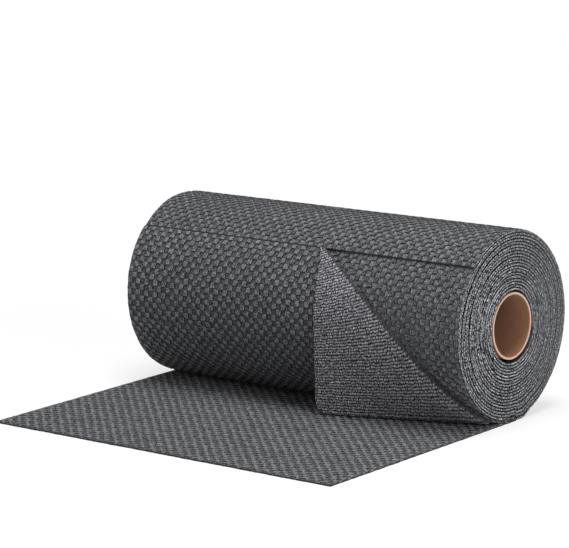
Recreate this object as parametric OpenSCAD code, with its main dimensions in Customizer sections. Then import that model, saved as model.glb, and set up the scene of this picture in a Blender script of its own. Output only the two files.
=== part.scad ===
// A roll of cleaning cloths on a paperboard core, lying on its side.
// The cloths are wound as one web, which is one piece. The first cloth is torn from the next one
// along part of its perforation and joined to it along the rest: the torn corner hangs folded down
// over the front, and the cloth's end goes under the roll, folds forwards and lies flat in front.
// The roll's axis is parallel to X, the loose end points to -Y, and Z = 0 is the surface below.

/* [Roll] */
// Width of the cloth, which is the length of the roll
cloth_w = 280; // [200:1:400]
// Diameter over the wound turns
roll_d = 126; // [90:1:180]
// Thickness of one cloth
cloth_t = 1.8; // [1.2:0.1:2.4]
// Slack between one turn and the next
turn_slack = 0.2; // [0.1:0.05:0.5]
// How far the rounded edge of each turn stands out of the roll's end
turn_edge = 1; // [0.5:0.1:2]
// Width of the flat spot that the roll's weight presses into its underside
flat_spot_w = 30; // [8:1:36]

/* [Core] */
// Outer diameter of the core
core_od = 44.5; // [30:0.5:55]
// Wall thickness of the core
core_wall = 1.5; // [1:0.1:3]
// How far each end of the core lies inside the roll's end
core_inset = 1; // [0:0.1:5]
// Clearance between the core and the first turn
core_fit = 0.1; // [0.05:0.05:0.3]

/* [Weave] */
// Distance from one row of checks to the next
row_pitch = 3.9; // [3:0.1:8]
// Width of the groove between two rows
groove_w = 1.4; // [0.6:0.1:2]
// Depth of the groove between two rows
groove_depth = 0.5; // [0.2:0.1:0.8]

/* [First cloth] */
// Angle of the perforation above the axis, on the front of the roll
perforation_angle = 46.8; // [30:0.1:60]
// Gap along the perforation
perforation_gap = 0.3; // [0.1:0.1:0.6]
// Width of each bond that is left across the perforation
bond_w = 2; // [1:0.5:4]
// Distance from one bond to the next
bond_step = 7; // [5:0.5:12]
// Torn length of the perforation, from the roll's right end
tear_w = 124; // [80:1:150]
// Angle below the axis at which the crease reaches the cloth's right edge
crease_end_angle = 65; // [50:1:72]
// How far in from the start of the tear the folded corner's free side hangs
corner_inset = 10; // [4:1:20]
// How fast the folded corner's free side comes in below the tear
corner_run = 14; // [8:1:25]
// Height of the folded corner's tip above the cloth below it
tip_height = 1.5; // [0.5:0.1:6]
// Gap between the folded corner and the cloth it lies on
corner_lift = 0.4; // [0.3:0.1:1]
// How far behind the roll's lowest line the first cloth folds forwards
fold_reach = 2; // [0:0.5:6]
// Length of the end that lies flat, from below the axis to its front edge
tail_len = 197; // [120:1:300]

/* [Hidden] */
$fn = 96;
// How far a cut goes past what it cuts
cut_over = 2;

// The turns
pitch = cloth_t + turn_slack;
centre_shift = pitch / 4;
top_r = roll_d / 2;
front_r = top_r - pitch / 2;
cover_in_r = front_r + turn_slack;
cover_r = front_r + pitch;
bore_r = core_od / 2 + core_fit;
turn_count = floor((front_r - bore_r - centre_shift) / pitch);
perforation_turn = 180 - perforation_angle;

// The axis, and the middle of the front half's arcs, which lies off it by a quarter of the pitch
flat_sag = cover_r - sqrt(pow(cover_r, 2) - pow(flat_spot_w / 2, 2));
axis_z = cloth_t + cover_r - flat_sag + centre_shift * sin(perforation_angle);
front_y = centre_shift * cos(perforation_angle);
front_z = axis_z - centre_shift * sin(perforation_angle);

// The rows of checks
row_count = round(360 / (row_pitch / top_r * 180 / PI) / 2);
row_angle = 180 / row_count;
groove_over = 0.5;

// The fold under the roll, and where the front layer comes down to it
fold_y = front_y + fold_reach;
nose_steps = 6;
outer_end = 90 + perforation_angle - asin(flat_spot_w / 2 / cover_r);
inner_end = 90 + perforation_angle - acos(1 - flat_sag / cover_in_r);
gap_angle = perforation_gap / cover_r * 180 / PI;

// How far a bond lies below both faces of the cloth, and how far it reaches into the cloth
bond_inset = 0.3;
bond_over = 1;

// The crease and the folded corner
right_x = cloth_w / 2;
fold_h = cover_r * (perforation_angle + crease_end_angle) * PI / 180;
crease_power = 1.6;
crease_steps = 16;
corner_columns = 4;
corner_start = 0.03;
bead_sides = 8;
corner_r = cover_r + corner_lift + cloth_t / 2;
straight_from = perforation_angle * PI / 180 * corner_r;
corner_drop = straight_from + front_z - cloth_t - tip_height;
slope_step = 0.01;

// Puts a shape drawn round the Z axis round the roll's axis: its X becomes Y and its Y becomes Z
module round_axis(y, z) {
    translate([0, y, z]) rotate([90, 0, 90]) children();
}

// Section of the turns on one side of the axis: each turn's edge is a tooth on both ends
module turns_section(r) {
    inner_r = bore_r - 2 * pitch;
    low = right_x - turn_edge;
    right_end = [
        for (k = [turn_count:-1:1]) each [[r - k * pitch, low], [r - (k - 0.5) * pitch, right_x]]
    ];
    left_end = [for (k = [len(right_end) - 1:-1:0]) [right_end[k][0], -right_end[k][1]]];
    polygon(concat([[inner_r, -low], [inner_r, low]], right_end, [[r, low], [r, -low]], left_end));
}

// The grooves between the rows of checks, round half of a cylinder of radius r
module row_grooves(r) {
    slope = groove_w / 2 * (1 + groove_over / groove_depth);
    linear_extrude(height = cloth_w + cut_over, center = true)
        for (i = [0:row_count - 1])
            rotate((i + 0.5) * row_angle)
                polygon([[r - groove_depth, 0], [r + groove_over, -slope], [r + groove_over, slope]]);
}

// Half a turn of every layer, with the rows of checks on its outside
module half_turns(r) {
    difference() {
        rotate_extrude(angle = 180) turns_section(r);
        row_grooves(r);
    }
}

module core_tube() {
    length = cloth_w - 2 * core_inset;
    color("peru") round_axis(0, axis_z) difference() {
        cylinder(h = length, d = core_od, center = true);
        cylinder(h = length + cut_over, d = core_od - 2 * core_wall, center = true);
    }
}

// Two sets of half turns, a quarter of the pitch to either side of the axis, make one spiral.
// They meet in the plane through the axis and the perforation. Below, they lie flat on the first
// cloth as far as its fold.
module turns() {
    flat_z = 2 * cloth_t + turn_slack;
    flat_end = fold_y + cloth_t + turn_slack;
    difference() {
        round_axis(0, axis_z) rotate(perforation_turn) union() {
            translate([centre_shift, 0, 0]) mirror([0, 1, 0]) half_turns(top_r);
            translate([-centre_shift, 0, 0]) half_turns(front_r);
        }
        round_axis(0, axis_z) cylinder(h = cloth_w + cut_over, r = bore_r, center = true);
        translate([-cloth_w, -top_r, flat_z - top_r]) cube([2 * cloth_w, top_r + flat_end, top_r]);
    }
}

// A point of the front layer, by its angle or its length below the perforation
function at_angle(a, r) =
    [front_y - r * cos(perforation_angle - a), front_z + r * sin(perforation_angle - a)];
function on_front(s, r) = at_angle(s / r * 180 / PI, r);
function crease_x(s) = right_x - cloth_t - (tear_w - cloth_t) * pow(max(0, 1 - s / fold_h), crease_power);

// Side view of the first cloth: down the front of the roll, round the fold and out to its end
module cloth_section() {
    half_groove = groove_w / 2 / cover_r * 180 / PI;
    outer_rows = [
        for (i = [1:row_count])
            let (a = (i + 0.5) * row_angle)
                if (a + half_groove < outer_end)
                    each [
                        at_angle(a - half_groove, cover_r),
                        at_angle(a, cover_r - groove_depth),
                        at_angle(a + half_groove, cover_r)
                    ]
    ];
    join = at_angle(outer_end, cover_r);
    tail_rows = [
        for (i = [1:floor((tail_len + join[0]) / row_pitch) - 1])
            let (y = join[0] - i * row_pitch)
                each [[y + groove_w / 2, cloth_t], [y, cloth_t - groove_depth], [y - groove_w / 2, cloth_t]]
    ];
    nose = [
        for (i = [0:nose_steps])
            let (a = -90 + i * 180 / nose_steps) [fold_y + cloth_t * cos(a), cloth_t + cloth_t * sin(a)]
    ];
    inner_steps = floor(inner_end / row_angle);
    inner_face = [for (i = [0:inner_steps]) at_angle(inner_end - i * row_angle, cover_in_r)];
    polygon(concat(
        [at_angle(gap_angle, cover_r)], outer_rows, [[join[0], cloth_t]], tail_rows,
        [[-tail_len, cloth_t], [-tail_len, 0]], nose, inner_face, [at_angle(gap_angle, cover_in_r)]
    ));
}

// What the tear and the crease take away from the front layer, seen from the front
module torn_away() {
    edge = [
        for (i = [0:crease_steps])
            let (s = fold_h * i / crease_steps) [crease_x(s), on_front(s, cover_r)[1]]
    ];
    above = on_front(0, cover_r)[1] + cloth_t;
    below = on_front(fold_h, cover_r)[1];
    outside = right_x + cut_over;
    points = concat([[edge[0][0], above]], edge, [[outside, below], [outside, above]]);
    translate([0, cut_over, 0]) rotate([90, 0, 0]) linear_extrude(height = 2 * cover_r) polygon(points);
}

// A point of the folded corner: v runs from the tear down to its lower side, u from its free side
// to the crease. The free side lies on the roll down to the axis, and hangs straight below it.
function hang_place(s) =
    s < straight_from ? on_front(s, corner_r) : [front_y - corner_r, front_z - (s - straight_from)];
function free_side(v) =
    let (s = v * corner_drop, place = hang_place(s))
        [right_x - tear_w + corner_inset * (1 - exp(-s / corner_run)), place[0], place[1]];
function crease_side(v) =
    let (s = v * fold_h, place = on_front(s * corner_r / cover_r, corner_r)) [crease_x(s), place[0], place[1]];
function corner_point(u, v) = (1 - u) * free_side(v) + u * crease_side(v);
function corner_normal(u, v) =
    let (
        across = crease_side(v) - free_side(v),
        down = corner_point(u, v + slope_step) - corner_point(u, v - slope_step),
        n = cross(across, down)
    )
        n / norm(n);
function corner_skin(side) = [
    for (j = [0:crease_steps])
        for (i = [0:corner_columns])
            let (u = i / corner_columns, v = corner_start + (1 - corner_start) * j / crease_steps)
                corner_point(u, v) + side * cloth_t / 2 * corner_normal(u, v)
];

// The corner that hangs folded down, with its back outwards
module folded_corner() {
    w = corner_columns + 1;
    n = w * (crease_steps + 1);
    last = crease_steps * w;
    inner = [
        for (j = [0:crease_steps - 1], i = [0:corner_columns - 1])
            let (k = j * w + i) each [[k, k + 1, k + w + 1], [k, k + w + 1, k + w]]
    ];
    outer = [for (f = inner) [f[2] + n, f[1] + n, f[0] + n]];
    ends = [
        for (i = [0:corner_columns - 1])
            each [
                [i + 1, i, n + i], [i + 1, n + i, n + i + 1],
                [last + i, last + i + 1, n + last + i + 1], [last + i, n + last + i + 1, n + last + i]
            ]
    ];
    sides = [
        for (j = [0:crease_steps - 1])
            let (a = j * w, b = a + corner_columns)
                each [[a, a + w, n + a + w], [a, n + a + w, n + a], [b + w, b, n + b], [b + w, n + b, n + b + w]]
    ];
    polyhedron(concat(corner_skin(-1), corner_skin(1)), concat(inner, outer, ends, sides));
}

// The round back of the crease, which joins the folded corner to the front layer. It starts a
// cloth's thickness below the tear.
module crease_bead() {
    steps = crease_steps;
    bead_r = cloth_t + corner_lift / 2;
    middle_r = cover_r + corner_lift / 2;
    middle = [
        for (j = [0:steps])
            let (s = cloth_t + (fold_h - cloth_t) * j / steps, place = on_front(s * middle_r / cover_r, middle_r))
                [crease_x(s), place[0], place[1]]
    ];
    rings = [
        for (j = [0:steps])
            let (
                along = middle[min(j + 1, steps)] - middle[max(j - 1, 0)],
                out = [0, middle[j][1] - front_y, middle[j][2] - front_z] / middle_r,
                side = cross(along, out) / norm(cross(along, out))
            )
                for (i = [0:bead_sides - 1])
                    let (a = (i + 0.5) * 360 / bead_sides) middle[j] + bead_r * (cos(a) * out + sin(a) * side)
    ];
    walls = [
        for (j = [0:steps - 1], i = [0:bead_sides - 1])
            let (a = j * bead_sides + i, b = j * bead_sides + (i + 1) % bead_sides)
                each [[a, a + bead_sides, b + bead_sides], [a, b + bead_sides, b]]
    ];
    first = [for (i = [0:bead_sides - 1]) i];
    last = [for (i = [bead_sides - 1:-1:0]) steps * bead_sides + i];
    polyhedron(rings, concat([first], walls, [last]));
}

// The first cloth, without its folded corner
module first_cloth() {
    difference() {
        round_axis(0, 0) linear_extrude(height = cloth_w, center = true) cloth_section();
        torn_away();
    }
}

// The bonds that still join the first cloth to the turns, across the perforation
module bonds() {
    count = floor((cloth_w - tear_w) / bond_step);
    round_axis(front_y, front_z) rotate(perforation_turn)
        for (i = [0:count - 1])
            let (x = right_x - tear_w - (i + 0.5) * bond_step - bond_w / 2)
                translate([cover_in_r + bond_inset, -bond_over, x])
                    cube([cloth_t - 2 * bond_inset, perforation_gap + 2 * bond_over, bond_w]);
}

module wound_cloths() {
    color("dimgray") {
        turns();
        first_cloth();
        bonds();
        folded_corner();
        crease_bead();
    }
}

core_tube();
wound_cloths();
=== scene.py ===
"""Roll of grey cleaning cloths on a paperboard core, lying on its side with its end unrolled."""
import math

import bpy
import numpy as np
from mathutils import Matrix, Vector


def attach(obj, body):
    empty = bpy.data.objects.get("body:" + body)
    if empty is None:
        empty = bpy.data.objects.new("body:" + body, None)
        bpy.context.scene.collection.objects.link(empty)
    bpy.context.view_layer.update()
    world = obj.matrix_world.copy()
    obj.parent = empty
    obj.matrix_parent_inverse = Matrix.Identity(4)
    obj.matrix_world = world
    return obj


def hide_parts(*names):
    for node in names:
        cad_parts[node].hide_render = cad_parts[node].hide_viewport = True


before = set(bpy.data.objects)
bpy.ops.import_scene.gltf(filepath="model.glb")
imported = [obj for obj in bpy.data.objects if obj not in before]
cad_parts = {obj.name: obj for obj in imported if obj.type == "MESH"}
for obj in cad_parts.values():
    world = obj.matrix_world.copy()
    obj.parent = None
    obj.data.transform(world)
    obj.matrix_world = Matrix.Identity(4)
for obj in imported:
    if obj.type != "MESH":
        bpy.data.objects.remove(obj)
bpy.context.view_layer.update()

# Sizes in millimetres, as the solids have them
CLOTH_W = 280.0
ROLL_D = 126.0
CLOTH_T = 1.8
TURN_SLACK = 0.2
FLAT_SPOT_W = 30.0
CORE_OD = 44.5
CORE_WALL = 1.5
CORE_INSET = 1.0
CORE_FIT = 0.1
PERFORATION = math.radians(46.8)
PERFORATION_GAP = 0.3
TEAR_W = 124.0
CREASE_END = math.radians(65.0)
CREASE_POWER = 1.6
CORNER_INSET = 10.0
CORNER_RUN = 14.0
TIP_HEIGHT = 1.5
CORNER_LIFT = 0.4
FOLD_REACH = 2.0
TAIL_LEN = 197.0

PITCH = CLOTH_T + TURN_SLACK
SHIFT = PITCH / 4
TOP_R = ROLL_D / 2
FRONT_R = TOP_R - PITCH / 2
COVER_R = FRONT_R + PITCH
BORE_R = CORE_OD / 2 + CORE_FIT
FLAT_SAG = COVER_R - math.sqrt(COVER_R**2 - (FLAT_SPOT_W / 2) ** 2)
AXIS_Z = CLOTH_T + COVER_R - FLAT_SAG + SHIFT * math.sin(PERFORATION)
FRONT_Y = SHIFT * math.cos(PERFORATION)
FRONT_Z = AXIS_Z - SHIFT * math.sin(PERFORATION)
TOP_Y = -FRONT_Y
TOP_Z = AXIS_Z + SHIFT * math.sin(PERFORATION)
RIGHT_X = CLOTH_W / 2
FOLD_Y = FRONT_Y + FOLD_REACH
FOLD_H = COVER_R * (PERFORATION + CREASE_END)
MID_R = COVER_R - CLOTH_T / 2
CORNER_R = COVER_R + CORNER_LIFT + CLOTH_T / 2
BEND_R = (CORNER_R - MID_R) / 2
STRAIGHT_FROM = PERFORATION * CORNER_R
CORNER_DROP = STRAIGHT_FROM + FRONT_Z - CLOTH_T - TIP_HEIGHT

# The weave of checks: 51 go round half a turn. The levels are shares of CHECK_DEPTH
CHECK = math.pi * TOP_R / 51
CHECK_DEPTH = 0.5
CHECK_STEPS = (0.0, 0.11, 0.89)
CHECK_SLOPE = 0.1
LOW_CHECK = -0.55
HIGH_CHECK = 1.0
LEVEL = -0.35
UNEVEN = 0.3
UNEVEN_STEP = 1.3

# The knit on the back, its rows and loops, and where in a row its middle lies
KNIT_ROW = 2.0
KNIT_LOOP = 1.2
KNIT_DEPTH = 0.14
KNIT_PHASE = 0.22

# The folded corner's rounded tip, as a share of the corner
TIP_ROUND = 0.08

# The cloth's frayed edges, and how far the outer turn stops short of the strands at its ends
FRAY = 0.35
FRAY_STEP = 1.1
FRAY_INSET = 0.3
TURN_INSET = 1.3

# Grid lines: how close two may be, and the extra ones inside the long edges
LINE_GAP = 0.15
EDGE_LINES = (0.5, 1.4)
EDGE_CLEAR = 2.0

# The weave dies out over these widths at the long edges and along the perforation
EDGE_BARE, EDGE_SLOPE = 1.0, 2.0
SEAM_BARE, SEAM_SLOPE = 0.2, 1.4

# Where the first cloth is pressed thin: from above its lowest line to a little past the fold
PRESSED_FROM, PRESSED_TO, PRESSED_IN = 4.0, 26.0, 0.3
BACK_IN, BACK_ROUGH, BACK_STEP = 0.1, 0.06, 1.7

# The folded corner's mesh, and the roughness of its knit
FLAP_COLUMNS, BEND_COLUMNS, FLAP_ROWS = 110, 8, 230
KNIT_COARSE_STEP, KNIT_FINE_STEP, KNIT_FINE = 0.8, 0.9, 0.04
CREASE_FLAT = 0.04

# The sag of the lowest turns behind the fold, on to the surface
LOWEST_TURN = 0.6
FLOOR_GAP = 0.1
SAG_LENGTH, SAG_END, SAG_HEIGHT = 9.0, 20.0, 14.0

# The torn edge above the corner lies down by this much, over these lengths
TORN_DROP, TORN_DEPTH, TORN_RUN = 0.6, 3.0, 20.0

# The strands at the roll's ends: steps along them, and how rough, loose, frayed and deep they are
STRAND_START, STRAND_STEP = 0.05, 1.1
STRAND_ROUGH, STRAND_LOOSE, STRAND_FRAY, STRAND_IN = 0.28, 0.5, 0.16, 0.6
STRAND_HIDDEN = 3.0

# The core's spiral seam
SEAM_PITCH, SEAM_PLACE, SEAM_WIDTH, SEAM_HEIGHT = 75.0, 37.0, 0.8, 0.12
CORE_STEPS = 120

MM = 0.001


# Mesh helpers

def noise_table(seed, size=64):
    """A smooth random table that repeats, to be read by sample()."""
    return np.random.default_rng(seed).uniform(-1.0, 1.0, (size, size))


def sample(table, u, v):
    """Reads a repeating table smoothly at u, v, counted in its own cells."""
    n = table.shape[0]
    iu, iv = np.floor(u).astype(int), np.floor(v).astype(int)
    fu, fv = u - iu, v - iv
    fu, fv = fu * fu * (3 - 2 * fu), fv * fv * (3 - 2 * fv)
    a = table[iu % n, iv % n] * (1 - fu) + table[(iu + 1) % n, iv % n] * fu
    b = table[iu % n, (iv + 1) % n] * (1 - fu) + table[(iu + 1) % n, (iv + 1) % n] * fu
    return a * (1 - fv) + b * fv


def make_piece(name, points, faces, flat=None, smooth=True):
    """A mesh object from points in millimetres. flat is each point's place on the cut cloth."""
    mesh = bpy.data.meshes.new(name)
    mesh.from_pydata((np.asarray(points) * MM).tolist(), [], faces)
    mesh.update()
    if flat is not None:
        attribute = mesh.attributes.new("flat_mm", "FLOAT_VECTOR", "POINT")
        attribute.data.foreach_set("vector", np.asarray(flat, np.float32).ravel())
    if smooth:
        mesh.polygons.foreach_set("use_smooth", np.ones(len(mesh.polygons), bool))
    piece = bpy.data.objects.new(name, mesh)
    bpy.context.scene.collection.objects.link(piece)
    return piece


def check_lines(low, high):
    """Grid lines from low to high: at each check's edges and a little inside them."""
    first, last = math.floor(low / CHECK), math.ceil(high / CHECK)
    lines = [(i + step) * CHECK for i in range(first, last + 1) for step in CHECK_STEPS]
    lines = [x for x in lines if low + LINE_GAP < x < high - LINE_GAP]
    return np.array([low] + lines + [high])


def edge_lines(half):
    """Grid lines across the cloth, with a few more near both edges."""
    near = [half - step for step in EDGE_LINES]
    lines = [x for x in check_lines(-half, half) if abs(x) < half - EDGE_CLEAR or abs(x) == half]
    return np.array(sorted(lines + near + [-x for x in near]))


def grid_faces(rows, columns, start=0, flip=False):
    """Quads of a grid whose points are numbered row by row."""
    j, i = np.meshgrid(np.arange(rows - 1), np.arange(columns - 1), indexing="ij")
    a = (start + j * columns + i).ravel()
    quads = np.stack([a, a + 1, a + columns + 1, a + columns], -1)
    return (quads[:, ::-1] if flip else quads).tolist()


WEAVE = noise_table(7)
FUZZ = noise_table(8)


def edge_fade(x, s):
    """1 on the cloth, falling to 0 at its long edges and along the perforation."""
    from_edge = (RIGHT_X - EDGE_BARE - np.abs(x)) / EDGE_SLOPE
    return np.clip(np.minimum(from_edge, (np.abs(s) - SEAM_BARE) / SEAM_SLOPE), 0, 1)


def check_height(x, s):
    """Height of the check side at a place on the cloth: raised checks and low ones in turn."""
    i, j = np.floor(x / CHECK + 1e-6), np.floor(s / CHECK + 1e-6)
    raised = ((i + j) % 2) == 0
    fx, fs = x / CHECK - i, s / CHECK - j
    inside = np.minimum(np.minimum(fx, 1 - fx), np.minimum(fs, 1 - fs))
    plateau = np.clip(inside / CHECK_SLOPE, 0, 1)
    height = np.where(raised, HIGH_CHECK, LOW_CHECK) * plateau + LEVEL
    fade = edge_fade(x, s)
    height = fade * height + LOW_CHECK * (1 - fade)
    return CHECK_DEPTH * (height + UNEVEN * sample(WEAVE, x / UNEVEN_STEP, s / UNEVEN_STEP))


# The shapes

def at_angle(angle, radius):
    """(y, z) on the front half's arcs, by the angle below the perforation."""
    above = PERFORATION - angle
    return FRONT_Y - radius * np.cos(above), FRONT_Z + radius * np.sin(above)


def crease_x(s):
    """Where the corner's crease crosses the cloth, by the length below the perforation."""
    share = np.clip(1 - s / FOLD_H, 0, None)
    return RIGHT_X - CLOTH_T - (TEAR_W - CLOTH_T) * share**CREASE_POWER


# The first cloth's length: down the front, under the roll, round the fold and out to the front
ARC_END = PERFORATION + math.asin((FRONT_Z - 1.5 * CLOTH_T) / MID_R)
FRONT_LEN = ARC_END * MID_R
UNDER_LEN = FOLD_Y - (FRONT_Y - MID_R * math.cos(ARC_END - PERFORATION))
NOSE_LEN = math.pi * CLOTH_T / 2
TAIL_RUN = TAIL_LEN + FOLD_Y
SHEET_LEN = FRONT_LEN + UNDER_LEN + NOSE_LEN + TAIL_RUN


def sheet_path(s):
    """The first cloth's middle line: y, z and the check side's direction at a length s."""
    a = s / MID_R
    front_y, front_z = at_angle(a, MID_R)
    under = s - FRONT_LEN
    nose = under - UNDER_LEN
    tail = nose - NOSE_LEN
    b = nose / (CLOTH_T / 2)
    parts = [under <= 0, nose <= 0, tail <= 0]
    y = np.select(parts, [front_y, FOLD_Y + nose, FOLD_Y + CLOTH_T / 2 * np.sin(b)], FOLD_Y - tail)
    z = np.select(parts, [front_z, 1.5 * CLOTH_T, CLOTH_T + CLOTH_T / 2 * np.cos(b)], CLOTH_T / 2)
    ny = np.select(parts, [-np.cos(PERFORATION - a), 0.0, -np.sin(b)], 0.0)
    nz = np.select(parts, [np.sin(PERFORATION - a), -1.0, -np.cos(b)], 1.0)
    return y, z, ny, nz


def frayed(along, across):
    """How far a cut edge stands out, by the place along it."""
    return FRAY * sample(FUZZ, along / FRAY_STEP, across / 40) - FRAY_INSET


def sheet_points(x, s, side):
    y, z, ny, nz = sheet_path(s)
    out = CLOTH_T / 2
    if side > 0:
        fold_end = FRONT_LEN + UNDER_LEN + NOSE_LEN
        pressed = (s > FRONT_LEN - PRESSED_FROM) & (s < fold_end + PRESSED_TO)
        out = out + np.where(pressed, -PRESSED_IN, check_height(x, s))
    else:
        out = out - BACK_IN + BACK_ROUGH * sample(FUZZ, x / BACK_STEP, s / BACK_STEP)
    fray = np.where(np.abs(x) > RIGHT_X - 0.6, frayed(s, x), 0.0)
    end = np.where(s > SHEET_LEN - 0.1, frayed(x, s), 0.0)
    return np.stack([x + np.sign(x) * fray, y + side * ny * out - end, z + side * nz * out], -1)


def build_sheet():
    """The front layer, the fold under the roll and the flat end, without the folded corner."""
    xs, ss = edge_lines(RIGHT_X), check_lines(PERFORATION_GAP, SHEET_LEN)
    nx, ns = len(xs), len(ss)
    gs, gx = np.meshgrid(ss, xs, indexing="ij")
    x, s = gx.ravel(), gs.ravel()
    top = sheet_points(x, s, 1)
    back = sheet_points(x, s, -1)
    mid_x, mid_s = (gx[1:, 1:] + gx[:-1, :-1]) / 2, (gs[1:, 1:] + gs[:-1, :-1]) / 2
    keep = (mid_s > FOLD_H * MID_R / COVER_R) | (mid_x < crease_x(mid_s * COVER_R / MID_R) + 0.4)
    cells = np.argwhere(keep)
    a = cells[:, 0] * nx + cells[:, 1]
    n = nx * ns
    top_quads = np.stack([a, a + 1, a + nx + 1, a + nx], -1)
    back_quads = top_quads[:, ::-1] + n
    sides = []
    for (dj, di, p, q) in ((-1, 0, 0, 1), (0, 1, 1, 2), (1, 0, 2, 3), (0, -1, 3, 0)):
        jj, ii = cells[:, 0] + dj, cells[:, 1] + di
        outside = (jj < 0) | (jj >= ns - 1) | (ii < 0) | (ii >= nx - 1)
        near = np.zeros(len(cells), bool)
        near[~outside] = keep[jj[~outside], ii[~outside]]
        edge = top_quads[~near]
        sides.append(np.stack([edge[:, q], edge[:, p], edge[:, p] + n, edge[:, q] + n], -1))
    quads = np.concatenate([top_quads, back_quads] + sides)
    used, quads = np.unique(quads, return_inverse=True)
    quads = quads.reshape(-1, 4)
    points = np.concatenate([top, back])[used]
    flat = np.concatenate([np.stack([x, s, np.ones(n)], -1), np.stack([x, s, -np.ones(n)], -1)])[used]
    return points, quads, flat


def corner_place(u, v):
    """Middle of the folded corner. u runs from its free side to the crease, v from the tear down."""
    drop = v * CORNER_DROP
    y1, z1 = at_angle(drop / CORNER_R, CORNER_R)
    straight = drop > STRAIGHT_FROM
    y1 = np.where(straight, FRONT_Y - CORNER_R, y1)
    z1 = np.where(straight, FRONT_Z - (drop - STRAIGHT_FROM), z1)
    x1 = RIGHT_X - TEAR_W + CORNER_INSET * (1 - np.exp(-drop / CORNER_RUN))
    s = v * FOLD_H
    y2, z2 = at_angle(s / COVER_R, CORNER_R)
    x2 = crease_x(s)
    return np.stack([(1 - u) * x1 + u * x2, (1 - u) * y1 + u * y2, (1 - u) * z1 + u * z2], -1)


def unit(v):
    """The same directions, each of length 1."""
    return v / np.maximum(np.linalg.norm(v, axis=-1, keepdims=True), 1e-12)


def build_corner():
    """The torn corner, folded down, and the bend that joins it to the front layer."""
    rows, columns = FLAP_ROWS, FLAP_COLUMNS + BEND_COLUMNS
    v = np.linspace(0.004, 1.0, rows)
    u = np.linspace(0.0, 1.0, FLAP_COLUMNS)
    gv, gu = np.meshgrid(v, u, indexing="ij")
    round_off = 1 - np.sqrt(1 - (1 - np.clip(gu / TIP_ROUND, 0, 1)) ** 2)
    gv = gv * (1 - TIP_ROUND * round_off)
    step = 1e-3
    middle = corner_place(gu, gv)
    across = corner_place(np.ones_like(gu), gv) - corner_place(np.zeros_like(gu), gv)
    down = corner_place(gu, gv + step) - corner_place(gu, gv - step)
    normal = unit(np.cross(down, across))
    share = (1 - gu) * gv + gu * (1 - (1 - gv) ** CREASE_POWER)
    flat_x, flat_s = RIGHT_X - TEAR_W * (1 - share), gu * gv * FOLD_H
    # the bend, from the corner's crease round to the front layer
    s = v * FOLD_H
    centre_r = (CORNER_R + MID_R) / 2
    cy, cz = at_angle(s / COVER_R, centre_r)
    centre = np.stack([crease_x(s), cy, cz], -1)
    along = unit(np.gradient(centre, axis=0))
    out = np.stack([np.zeros(rows), (cy - FRONT_Y) / centre_r, (cz - FRONT_Z) / centre_r], -1)
    beside = unit(np.cross(along, out))
    beside = beside * np.sign(beside[:, :1])
    turn = np.linspace(0, math.pi, BEND_COLUMNS + 1)[1:]
    direction = np.cos(turn)[None, :, None] * out[:, None]
    direction = direction + np.sin(turn)[None, :, None] * beside[:, None]
    bend = centre[:, None] + BEND_R * direction
    bend_x = flat_x[:, -1:] + 0 * turn[None]
    bend_s = flat_s[:, -1:] + turn[None] * BEND_R
    middle = np.concatenate([middle, bend], 1)
    normal = np.concatenate([normal, direction], 1)
    fx, fs = np.concatenate([flat_x, bend_x], 1), np.concatenate([flat_s, bend_s], 1)
    rough = np.concatenate([np.clip((1 - u) / CREASE_FLAT, 0.0, 1), np.zeros(BEND_COLUMNS)])
    knit = 0.5 * KNIT_DEPTH * sample(WEAVE, fx / KNIT_COARSE_STEP, fs / KNIT_COARSE_STEP)
    knit = knit + KNIT_FINE * sample(FUZZ, fs / KNIT_FINE_STEP, fx / KNIT_FINE_STEP)
    knit = knit * rough - KNIT_DEPTH * 0.5 * (1 - rough)
    outer = middle + normal * (CLOTH_T / 2 - KNIT_DEPTH + knit)[..., None]
    inner = middle - normal * (CLOTH_T / 2 + check_height(fx, fs) * 0.5)[..., None]
    n = rows * columns
    points = np.concatenate([outer.reshape(-1, 3), inner.reshape(-1, 3)])
    # the side is -1 on the back, and a little more on the bend, which the material turns into painted
    # shade along the crease
    crease_shade = np.concatenate([np.zeros(FLAP_COLUMNS), np.linspace(0.3, 0.6, BEND_COLUMNS)])
    outside = np.broadcast_to(crease_shade - 1, fx.shape).ravel()
    flat = np.concatenate([
        np.stack([fx.ravel(), fs.ravel(), outside], -1),
        np.stack([fx.ravel(), fs.ravel(), np.ones(n)], -1),
    ])
    quads = grid_faces(rows, columns, 0, flip=True) + grid_faces(rows, columns, n)
    ring = list(range(columns))
    ring += [j * columns + columns - 1 for j in range(1, rows)]
    ring += [(rows - 1) * columns + i for i in range(columns - 2, -1, -1)]
    ring += [j * columns for j in range(rows - 2, 0, -1)]
    for a, b in zip(ring, ring[1:] + ring[:1]):
        quads.append([a, b, b + n, a + n])
    return points, np.array(quads), flat


def build_first_cloth():
    """The first cloth in one mesh: the front layer with the flat end, and the folded corner."""
    points, quads, flat = build_sheet()
    corner, corner_quads, corner_flat = build_corner()
    corner_quads = corner_quads + len(points)
    return make_piece(
        "loose_cloth",
        np.concatenate([points, corner]),
        np.concatenate([quads, corner_quads]).tolist(),
        np.concatenate([flat, corner_flat]),
        smooth=False,
    )


def spiral_place(angle, inward=0.0):
    """(y, z) of the web's outer side. angle runs from the perforation over the top, turn by turn."""
    turn = np.floor(angle / math.pi + 1e-9)
    upper = (turn % 2) == 0
    depth = np.where(upper, turn / 2, (turn - 1) / 2) * PITCH
    radius = np.where(upper, TOP_R, FRONT_R) - depth - inward
    cy, cz = np.where(upper, TOP_Y, FRONT_Y), np.where(upper, TOP_Z, FRONT_Z)
    a = math.pi - PERFORATION - angle
    return cy + radius * np.cos(a), cz + radius * np.sin(a), np.cos(a), np.sin(a)


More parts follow.
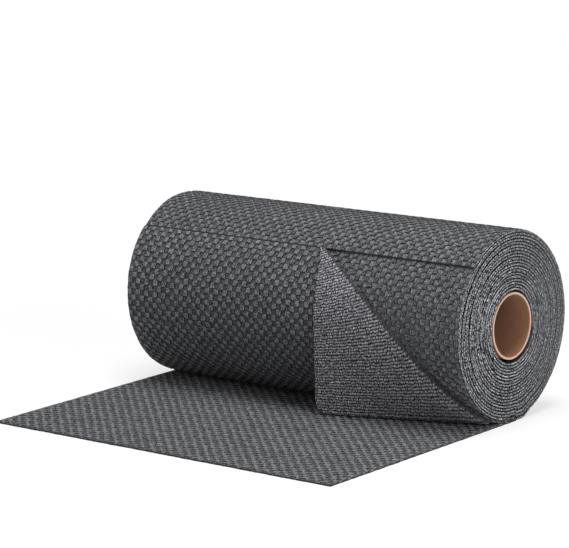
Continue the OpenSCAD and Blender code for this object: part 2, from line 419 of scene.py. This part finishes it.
def rest_height(y):
    """Lowest place of the turns: on the first cloth as far as its fold, and near the surface behind."""
    past = np.clip((y - FOLD_Y - 1.0) / 1.6, 0, 1)
    return (2 * CLOTH_T + TURN_SLACK) * (1 - past) + LOWEST_TURN * past


def settle(y, z):
    """Lets the lowest turns behind the fold sag on to the surface."""
    round_z = FRONT_Z - np.sqrt(FRONT_R**2 - np.minimum((y - FRONT_Y) ** 2, FRONT_R**2))
    behind = np.clip((y - FOLD_Y - 0.8) / 1.2, 0, 1) * np.clip((SAG_END - y) / SAG_LENGTH, 0, 1)
    low_down = np.clip(1 - (z - 2.5) / SAG_HEIGHT, 0, 1)
    return np.maximum(z - behind * (round_z - FLOOR_GAP) * low_down, np.minimum(z, FLOOR_GAP))


def build_outer_turn():
    """The outermost turn of the wound web: checks outside, and a plain hidden inside."""
    over = math.radians(6)
    xs = edge_lines(RIGHT_X - TURN_INSET)
    ss = check_lines(0.0, (2 * math.pi + over) * TOP_R)
    gs, gx = np.meshgrid(ss, xs, indexing="ij")
    angle = gs / TOP_R
    torn = np.clip((gx - RIGHT_X + TEAR_W) / TORN_RUN, 0, 1) * np.clip(1 - gs / TORN_DEPTH, 0, 1)
    height = check_height(gx, gs) - TORN_DROP * torn
    y, z, ny, nz = spiral_place(angle)
    oy, oz = y + ny * height, z + nz * height
    iy, iz = y - ny * CLOTH_T, z - nz * CLOTH_T
    oz, iz = np.maximum(oz, rest_height(oy)), np.maximum(iz, rest_height(iy) + CLOTH_T)
    oz, iz = settle(oy, oz), settle(iy, iz)
    n = gx.size
    rows, columns = gx.shape
    points = np.concatenate([
        np.stack([gx, oy, oz], -1).reshape(-1, 3),
        np.stack([gx, iy, iz], -1)[:, [0, -1]].reshape(-1, 3),
    ])
    flat = np.concatenate([
        np.stack([gx, -gs, np.ones_like(gx)], -1).reshape(-1, 3),
        np.stack([gx, -gs, -np.ones_like(gx)], -1)[:, [0, -1]].reshape(-1, 3),
    ])
    faces = grid_faces(rows, columns, 0)
    for j in range(rows - 1):
        a, b = n + 2 * j, n + 2 * j + 2
        faces.append([a, b, b + 1, a + 1])
        faces.append([j * columns, (j + 1) * columns, b, a])
        faces.append([(j + 1) * columns - 1, a + 1, b + 1, (j + 2) * columns - 1])
    faces.append(list(range(columns))[::-1] + [n, n + 1])
    last = (rows - 1) * columns
    faces.append(list(range(last, last + columns)) + [n + 2 * rows - 1, n + 2 * rows - 2])
    return make_piece("outer_turn", points, faces, flat, smooth=False)


def build_turns():
    """The inner turns as one long spiral strip, with the cloth's rounded, fuzzy edge at both ends."""
    # how deep in the cloth, as a share of its thickness, and how far back from its end
    profile = np.array([(0.0, 6.0), (0.02, 0.9), (0.16, 0.25), (0.5, 0.0), (0.84, 0.25), (0.98, 0.9)])
    turns = int((FRONT_R - BORE_R - SHIFT) / PITCH)
    angles = []
    angle = STRAND_START
    while angle < 2 * math.pi * (turns + 0.4):
        radius = TOP_R - angle / (2 * math.pi) * PITCH
        angles.append(angle)
        angle += STRAND_STEP / radius
    angle = np.array(angles)
    # one closed loop of the strip's section: right edge, then left edge
    inward = np.concatenate([profile[:, 0], profile[::-1, 0]]) * CLOTH_T
    back = np.concatenate([profile[:, 1], profile[::-1, 1]])
    sign = np.concatenate([np.ones(len(profile)), -np.ones(len(profile))])
    ga, gi = np.meshgrid(angle, inward, indexing="ij")
    at_end = back[None] < STRAND_HIDDEN
    covered = (ga < 2 * math.pi + 0.05) & (gi < 0.4 * CLOTH_T)
    y, z, ny, nz = spiral_place(ga, np.where(covered, np.where(at_end, 0.25, 0.75) * CLOTH_T, gi))
    radius = TOP_R - ga / (2 * math.pi) * PITCH
    length = radius * ga
    index = np.arange(len(inward))[None]
    shown = np.where(at_end, 1.0, 0.0)
    loose = np.clip((radius - BORE_R) / (TOP_R - BORE_R), 0, 1)
    rough = STRAND_ROUGH * sample(FUZZ, length / 1.1, index * 1.7 + sign[None] * 9)
    stand = STRAND_LOOSE * sample(WEAVE, ga / 0.6 + sign[None] * 21, 0 * ga + 3) * (0.3 + loose)
    x = sign[None] * (RIGHT_X - back[None] + shown * (rough + stand - STRAND_IN))
    shift = shown * STRAND_FRAY * sample(WEAVE, length / 0.9 + 31 * sign[None], index * 2.3)
    y, z = y + ny * shift, z + nz * shift
    z = settle(y, np.maximum(z, rest_height(y) + 0.2))
    points = np.stack([x, y, z], -1).reshape(-1, 3)
    flat = np.stack([length, sign[None] * gi + 0 * ga, 0 * ga], -1).reshape(-1, 3)
    rows, columns = ga.shape
    faces = []
    for j in range(rows - 1):
        a, b = j * columns, (j + 1) * columns
        for i in range(columns):
            k = (i + 1) % columns
            faces.append([a + i, b + i, b + k, a + k])
    faces.append(list(range(columns)))
    faces.append(list(range((rows - 1) * columns, rows * columns))[::-1])
    return make_piece("wound_turns", points, faces, flat)


def build_core():
    """The paperboard core: a tube with softly rounded rims and a faint spiral seam."""
    outer, inner = CORE_OD / 2, CORE_OD / 2 - CORE_WALL
    half = RIGHT_X - CORE_INSET
    section = [(outer, 0.25), (outer - 0.25, 0.0), (inner + 0.3, 0.0), (inner, 0.35)]
    inside = np.linspace(-half + 2, half - 2, 60)[::-1]
    line = [(r, half - b) for r, b in section] + [(inner, x) for x in inside]
    line += [(r, -half + b) for r, b in section[::-1]] + [(outer, x) for x in (-half + 4, half - 4)]
    line = np.array(line)
    angle = np.linspace(0, 2 * math.pi, CORE_STEPS, endpoint=False)
    ga, gr = np.meshgrid(angle, line[:, 0], indexing="ij")
    gx = np.broadcast_to(line[:, 1], ga.shape)
    seam = np.mod(gx + ga / (2 * math.pi) * SEAM_PITCH, SEAM_PITCH)
    inner_side = np.abs(gr - inner) < 0.01
    ridge = SEAM_HEIGHT * np.exp(-((seam - SEAM_PLACE) / SEAM_WIDTH) ** 2)
    radius = gr + np.where(inner_side, ridge, 0) + 0.05 * np.sin(3 * ga)
    points = np.stack([gx, radius * np.cos(ga), AXIS_Z + radius * np.sin(ga)], -1).reshape(-1, 3)
    columns = len(line)
    faces = []
    for j in range(CORE_STEPS):
        a, b = j * columns, ((j + 1) % CORE_STEPS) * columns
        for i in range(columns):
            k = (i + 1) % columns
            faces.append([a + i, a + k, b + k, b + i])
    flat = np.stack([gx, seam, gr], -1).reshape(-1, 3)
    return make_piece("paper_core", points, faces, flat)


# Materials, with their colours as linear red, green and blue

CHECK_LIGHT, CHECK_DARK = (0.242, 0.248, 0.264), (0.008, 0.009, 0.010)
KNIT_LIGHT, KNIT_DARK = (0.640, 0.620, 0.680), (0.008, 0.007, 0.009)
EDGE_LIGHT, EDGE_DARK = (0.66, 0.67, 0.71), (0.004, 0.005, 0.006)
PAPER_LIGHT, PAPER_DARK = (0.34, 0.170, 0.102), (0.25, 0.122, 0.070)
# The seam's colour, and the dark brown that is painted shade deep inside the core
PAPER_SEAM, PAPER_DEEP_SHADE = (0.12, 0.06, 0.035), (0.045, 0.021, 0.010)
CUT_LIGHT, CUT_DARK = (0.66, 0.45, 0.35), (0.48, 0.30, 0.22)

# How white the floor stays in the darkest shadow, and how far from the middle the shadow ends
SHADOW_WHITE = 0.64
SHADOW_FROM, SHADOW_TO = 0.22, 0.5


class Nodes:
    """Small helper that adds and links the nodes of one material."""

    def __init__(self, name):
        self.material = bpy.data.materials.new(name)
        self.material.use_nodes = True
        self.tree = self.material.node_tree
        self.shader = self.tree.nodes["Principled BSDF"]
        self.output = self.tree.nodes["Material Output"]

    def add(self, kind, **values):
        node = self.tree.nodes.new(kind)
        for key, value in values.items():
            setattr(node, key, value)
        return node

    def link(self, source, target):
        if isinstance(source, (int, float)):
            target.default_value = source
        else:
            self.tree.links.new(source, target)

    def math(self, operation, a, b=None, c=None):
        node = self.add("ShaderNodeMath", operation=operation)
        for socket, value in zip(node.inputs, (a, b, c)):
            if value is not None:
                self.link(value, socket)
        return node.outputs[0]

    def mix(self, factor, a, b):
        node = self.add("ShaderNodeMix", data_type="RGBA")
        self.link(factor, node.inputs[0])
        for socket, value in ((node.inputs[6], a), (node.inputs[7], b)):
            if isinstance(value, tuple):
                socket.default_value = value + (1.0,)
            else:
                self.link(value, socket)
        return node.outputs[2]

    def noise(self, vector, scale, detail=2.0):
        node = self.add("ShaderNodeTexNoise")
        self.link(vector, node.inputs["Vector"])
        node.inputs["Scale"].default_value = scale
        node.inputs["Detail"].default_value = detail
        return node.outputs["Fac"]

    def ramp(self, value, low, high):
        node = self.add("ShaderNodeMapRange", interpolation_type="SMOOTHSTEP")
        self.link(value, node.inputs["Value"])
        node.inputs["From Min"].default_value = low
        node.inputs["From Max"].default_value = high
        return node.outputs[0]

    def place(self):
        """The point's place on the cut cloth, as a vector and as its three numbers."""
        vector = self.add("ShaderNodeAttribute", attribute_name="flat_mm").outputs["Vector"]
        return vector, self.split(vector)

    def split(self, vector):
        node = self.add("ShaderNodeSeparateXYZ")
        self.link(vector, node.inputs[0])
        return node.outputs

    def bump(self, height, strength, distance):
        node = self.add("ShaderNodeBump")
        node.inputs["Strength"].default_value = strength
        node.inputs["Distance"].default_value = distance
        self.link(height, node.inputs["Height"])
        self.link(node.outputs[0], self.shader.inputs["Normal"])

    def wave(self, value, period, phase=0.0):
        scaled = self.math("MULTIPLY_ADD", value, 2 * math.pi / period, phase)
        return self.math("MULTIPLY_ADD", self.math("SINE", scaled), 0.5, 0.5)


def cloth_material(name):
    """Checks on one side and rows of fine loops on the other, told apart by the cloth's own side."""
    m = Nodes(name)
    place, (x, s, side) = m.place()
    grain = m.add("ShaderNodeTexCoord").outputs["Object"]
    fibres = m.ramp(m.noise(grain, 800.0, 2.0), 0.38, 0.62)
    loops = m.ramp(m.noise(grain, 640.0, 1.0), 0.44, 0.56)
    patches = m.noise(grain, 45.0, 2.0)
    # checks: a dark line all round each one, ribs along the web on the raised ones
    wander = m.noise(place, 0.7, 1.0)
    shift_x = m.math("MULTIPLY_ADD", wander, 0.8, -0.4)
    shift_s = m.math("MULTIPLY_ADD", wander, -0.8, 0.4)
    fx = m.math("SINE", m.math("MULTIPLY_ADD", x, math.pi / CHECK, shift_x))
    fs = m.math("SINE", m.math("MULTIPLY_ADD", s, math.pi / CHECK, shift_s))
    inside = m.math("MINIMUM", m.math("ABSOLUTE", fx), m.math("ABSOLUTE", fs))
    up = m.math("GREATER_THAN", m.math("MULTIPLY", fx, fs), 0.0)
    rib = m.wave(m.math("MULTIPLY_ADD", s, 0.12, x), CHECK / 3)
    cross = m.wave(m.math("MULTIPLY_ADD", x, -0.3, s), CHECK / 3)
    tone = m.math("MULTIPLY_ADD", rib, 0.45, m.math("MULTIPLY", fibres, 0.55))
    raised = m.math("MULTIPLY", up, m.ramp(inside, 0.0, 0.25))
    raised = m.math("MULTIPLY", raised, m.ramp(tone, -0.1, 1.0))
    low = m.math("MULTIPLY", m.math("SUBTRACT", 1.0, up), m.ramp(inside, 0.1, 0.45))
    low = m.math("MULTIPLY", low, m.math("MULTIPLY_ADD", cross, 0.5, 0.5))
    low = m.math("MULTIPLY", low, m.math("MULTIPLY_ADD", fibres, 0.45, 0.12))
    # painted shade in the slit: the checks go dark within a millimetre of the perforation, on both torn
    # edges
    seam = m.ramp(m.math("ABSOLUTE", s), 0.25, 0.9)
    checks = m.mix(m.math("MULTIPLY", m.math("ADD", raised, low), seam), CHECK_DARK, CHECK_LIGHT)
    # back: rows across the cloth, broken into loops
    knit = m.add("ShaderNodeCombineXYZ")
    waver = m.math("MULTIPLY_ADD", m.noise(place, 0.35, 1.0), 0.9, -0.45)
    row_place = m.math("MULTIPLY_ADD", x, 1 / KNIT_ROW, waver)
    stagger = m.math("MULTIPLY", m.math("FLOOR", m.math("SUBTRACT", row_place, KNIT_PHASE - 0.5)), 0.37)
    m.link(row_place, knit.inputs[0])
    m.link(m.math("MULTIPLY_ADD", s, 1 / KNIT_LOOP, stagger), knit.inputs[1])
    cell = m.add("ShaderNodeTexVoronoi", voronoi_dimensions="2D")
    m.link(knit.outputs[0], cell.inputs["Vector"])
    cell.inputs["Scale"].default_value = 1.0
    cell.inputs["Randomness"].default_value = 2 * KNIT_PHASE
    row = m.ramp(m.wave(row_place, 1.0, 2 * math.pi * (0.25 - KNIT_PHASE)), -0.05, 0.7)
    loop = m.ramp(cell.outputs["Distance"], 0.60, 0.2)
    loop = m.math("MULTIPLY", loop, m.math("MULTIPLY_ADD", row, 0.8, 0.2))
    grains = m.math("MULTIPLY_ADD", loops, 0.4, m.math("MULTIPLY_ADD", fibres, 0.4, 0.2))
    back = m.mix(m.math("MULTIPLY", loop, grains), KNIT_DARK, KNIT_LIGHT)
    # painted shade along the crease: where the side lies a little above -1, on the bend, the back goes
    # to the knit's dark colour
    back = m.mix(m.ramp(side, -0.95, -0.55), back, KNIT_DARK)
    front = m.ramp(side, -0.1, 0.1)
    colour = m.mix(front, back, checks)
    shade = m.math("MULTIPLY_ADD", patches, 0.35, 0.82)
    tinted = m.add("ShaderNodeMix", data_type="RGBA", blend_type="MULTIPLY")
    tinted.inputs["Factor"].default_value = 1.0
    m.link(colour, tinted.inputs[6])
    combine = m.add("ShaderNodeCombineColor")
    for socket in combine.inputs[:3]:
        m.link(shade, socket)
    m.link(combine.outputs[0], tinted.inputs[7])
    m.link(tinted.outputs[2], m.shader.inputs["Base Color"])
    m.link(m.math("MULTIPLY_ADD", loops, 0.1, 0.86), m.shader.inputs["Roughness"])
    m.shader.inputs["Sheen Weight"].default_value = 0.1
    m.shader.inputs["Sheen Roughness"].default_value = 0.6
    m.shader.inputs["Specular IOR Level"].default_value = 0.15
    fine = m.math("ADD", m.math("MULTIPLY", rib, 0.5), m.math("MULTIPLY", fibres, 0.6))
    rough = m.math("MULTIPLY", loop, m.math("MULTIPLY_ADD", loops, 1.2, 0.2))
    rough = m.math("MULTIPLY", m.math("SUBTRACT", 1.0, front), rough)
    m.bump(m.math("ADD", m.math("MULTIPLY", front, fine), rough), 0.9, 0.0004)
    return m.material


def edge_material(name):
    """The cut edges of the wound cloths: bright and dark fibre ends, strand by strand, with painted
    shade in the gaps between the turns.
    """
    m = Nodes(name)
    grain = m.add("ShaderNodeTexCoord").outputs["Object"]
    place, (_, deep, _) = m.place()
    across = m.math("ABSOLUTE", deep)
    off_middle = m.math("ABSOLUTE", m.math("MULTIPLY_ADD", across, 2 / CLOTH_T, -1.0))
    middle = m.math("SUBTRACT", 1.0, off_middle)
    fibre = m.ramp(m.noise(grain, 1000.0, 1.0), 0.44, 0.56)
    strokes = m.add("ShaderNodeVectorMath", operation="MULTIPLY")
    m.link(place, strokes.inputs[0])
    strokes.inputs[1].default_value = (1.0, 1.5, 1.0)
    clump = m.ramp(m.noise(strokes.outputs["Vector"], 1.0, 1.0), 0.44, 0.56)
    speckle = m.math("MULTIPLY_ADD", clump, 0.5, m.math("MULTIPLY", fibre, 0.5))
    # towards the back of the roll the painted shade in the gaps, and the speckle with it, partly fades
    # to an even grey
    even_at_back = m.math("MULTIPLY", m.ramp(m.split(grain)[1], -0.02, 0.045), 0.55)
    # painted shade in the gaps between the turns: each strand goes dark towards both of its faces
    gap_shade = m.ramp(middle, 0.05, 0.75)
    amount = m.math("MULTIPLY", m.ramp(speckle, 0.1, 0.9), gap_shade)
    amount = m.math("MULTIPLY", amount, m.math("SUBTRACT", 1.0, even_at_back))
    amount = m.math("ADD", amount, m.math("MULTIPLY", even_at_back, 0.23))
    m.link(m.mix(amount, EDGE_DARK, EDGE_LIGHT), m.shader.inputs["Base Color"])
    m.shader.inputs["Roughness"].default_value = 0.95
    m.shader.inputs["Specular IOR Level"].default_value = 0.15
    m.bump(m.math("ADD", fibre, clump), 1.0, 0.0006)
    return m.material


def paper_material(name):
    """Brown paperboard: pale cut rims, darker fibres inside, painted shade deep in the bore and a faint
    seam.
    """
    m = Nodes(name)
    grain = m.add("ShaderNodeTexCoord").outputs["Object"]
    x, seam, radius = m.place()[1]
    inner = CORE_OD / 2 - CORE_WALL
    rim = m.ramp(m.math("ABSOLUTE", x), RIGHT_X - CORE_INSET - 0.45, RIGHT_X - CORE_INSET - 0.1)
    fibres = m.noise(grain, 260.0, 4.0)
    inside = m.mix(fibres, PAPER_DARK, PAPER_LIGHT)
    line = m.math("LESS_THAN", m.math("ABSOLUTE", m.math("SUBTRACT", seam, 37.5)), 0.35)
    inside = m.mix(m.math("MULTIPLY", line, 0.2), inside, PAPER_SEAM)
    # painted shade in the bore: the inside goes dark brown from near the rims towards the middle of the
    # core
    depth = m.ramp(m.math("ABSOLUTE", x), RIGHT_X - 70.0, RIGHT_X - 5.0)
    inside = m.mix(depth, PAPER_DEEP_SHADE, inside)
    ply = m.wave(m.math("SUBTRACT", radius, inner), 0.5)
    cut = m.mix(m.math("MULTIPLY_ADD", ply, 0.4, m.math("MULTIPLY", fibres, 0.4)), CUT_LIGHT, CUT_DARK)
    m.link(m.mix(rim, inside, cut), m.shader.inputs["Base Color"])
    m.shader.inputs["Roughness"].default_value = 0.75
    m.shader.inputs["Specular IOR Level"].default_value = 0.3
    m.bump(fibres, 0.5, 0.0002)
    return m.material


def floor_material():
    """White floor that shows as white and keeps the soft shadow."""
    m = Nodes("floor_white")
    m.shader.inputs["Base Color"].default_value = (0.92, 0.92, 0.92, 1.0)
    m.shader.inputs["Roughness"].default_value = 0.9
    m.shader.inputs["Specular IOR Level"].default_value = 0.1
    glow = m.add("ShaderNodeEmission")
    glow.inputs["Strength"].default_value = 1.0
    blend = m.add("ShaderNodeMixShader")
    path = m.add("ShaderNodeLightPath")
    place = m.add("ShaderNodeTexCoord").outputs["Object"]
    length = m.add("ShaderNodeVectorMath", operation="LENGTH")
    m.link(place, length.inputs[0])
    away = m.ramp(length.outputs["Value"], SHADOW_FROM, SHADOW_TO)
    share = m.math("MULTIPLY_ADD", away, 1 - SHADOW_WHITE, SHADOW_WHITE)
    m.link(m.math("MULTIPLY", path.outputs["Is Camera Ray"], share), blend.inputs[0])
    m.link(m.shader.outputs[0], blend.inputs[1])
    m.link(glow.outputs[0], blend.inputs[2])
    m.link(blend.outputs[0], m.output.inputs["Surface"])
    return m.material


# The pieces, and what they stand for

loose_cloth = build_first_cloth()
outer_turn = build_outer_turn()
wound_turns = build_turns()
paper_core = build_core()

cloth = cloth_material("microfiber_cloth")
edges = edge_material("microfiber_edges")
for piece in (loose_cloth, outer_turn):
    piece.data.materials.append(cloth)
wound_turns.data.materials.append(edges)
paper_core.data.materials.append(paper_material("paperboard_core"))

for piece, node, slot in (
    (loose_cloth, "wound_cloths", "microfiber"),
    (outer_turn, "wound_cloths", "microfiber"),
    (wound_turns, "wound_cloths", "microfiber"),
    (paper_core, "core_tube", "paperboard"),
):
    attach(piece, "root")
    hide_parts(node)

# Floor, light and camera

bpy.ops.mesh.primitive_plane_add(size=12.0, location=(0, 0, 0))
floor = bpy.context.object
floor.name = "floor"
floor.data.materials.append(floor_material())

# The world lights the object with this strength, and looks white to the camera and to gloss
WORLD_LIGHT = 0.30
world = bpy.data.worlds.new("studio")
bpy.context.scene.world = world
world.use_nodes = True
world_nodes = world.node_tree.nodes
world_links = world.node_tree.links
background = world_nodes["Background"]
background.inputs["Color"].default_value = (1, 1, 1, 1)
ray = world_nodes.new("ShaderNodeLightPath")
seen = world_nodes.new("ShaderNodeMath")
seen.operation = "MAXIMUM"
world_links.new(ray.outputs["Is Camera Ray"], seen.inputs[0])
world_links.new(ray.outputs["Is Glossy Ray"], seen.inputs[1])
strength = world_nodes.new("ShaderNodeMapRange")
world_links.new(seen.outputs[0], strength.inputs["Value"])
strength.inputs["To Min"].default_value = WORLD_LIGHT
strength.inputs["To Max"].default_value = 1.0
world_links.new(strength.outputs[0], background.inputs["Strength"])


def area_lamp(name, place, aim, size, power):
    """A round lamp at a place, turned towards another."""
    lamp = bpy.data.lights.new(name, "AREA")
    lamp.shape = "DISK"
    lamp.size = size
    lamp.energy = power
    stand = bpy.data.objects.new(name, lamp)
    bpy.context.scene.collection.objects.link(stand)
    stand.location = place
    stand.rotation_mode = "QUATERNION"
    stand.rotation_quaternion = (Vector(aim) - Vector(place)).to_track_quat("-Z", "Y")


area_lamp("top", (0.1, -0.08, 1.55), (0.05, -0.08, 0.0), 1.0, 22.5)
area_lamp("side", (1.1, -0.35, 0.5), (0.12, 0.0, 0.05), 0.6, 6.0)

# The photo's viewpoint, fitted to the lying roll. The photo is 569 pixels wide and 548 high
YAW, PITCH_DOWN, TILT = math.radians(38.7), math.radians(11.2), math.radians(-1.0)
FOCAL_PX, DISTANCE, SHIFT_X_PX, SHIFT_Y_PX = 2973.1, 1938.5 * MM, 229.2, 52.1
FRAME_W_PX = 569
SENSOR = 36.0
PX = DISTANCE / FOCAL_PX

view_back = Vector((
    math.sin(YAW) * math.cos(PITCH_DOWN),
    -math.cos(YAW) * math.cos(PITCH_DOWN),
    math.sin(PITCH_DOWN),
))
level_right = (-view_back).cross(Vector((0, 0, 1))).normalized()
level_up = level_right.cross(-view_back)
view_right = math.cos(TILT) * level_right + math.sin(TILT) * level_up
view_up = -math.sin(TILT) * level_right + math.cos(TILT) * level_up
roll_end = Vector((RIGHT_X * MM, 0, AXIS_Z * MM))
eye = roll_end + view_back * DISTANCE - view_right * (SHIFT_X_PX * PX) + view_up * (SHIFT_Y_PX * PX)
camera = bpy.data.objects.new("camera", bpy.data.cameras.new("camera"))
bpy.context.scene.collection.objects.link(camera)
camera.data.sensor_width = SENSOR
camera.data.sensor_fit = "AUTO"
camera.data.lens = FOCAL_PX * SENSOR / FRAME_W_PX
camera.data.clip_start, camera.data.clip_end = 0.1, 50
camera.matrix_world = Matrix((
    (view_right.x, view_up.x, view_back.x, eye.x),
    (view_right.y, view_up.y, view_back.y, eye.y),
    (view_right.z, view_up.z, view_back.z, eye.z),
    (0, 0, 0, 1),
))
bpy.context.scene.camera = camera
bpy.context.scene.view_settings.view_transform = "Standard"
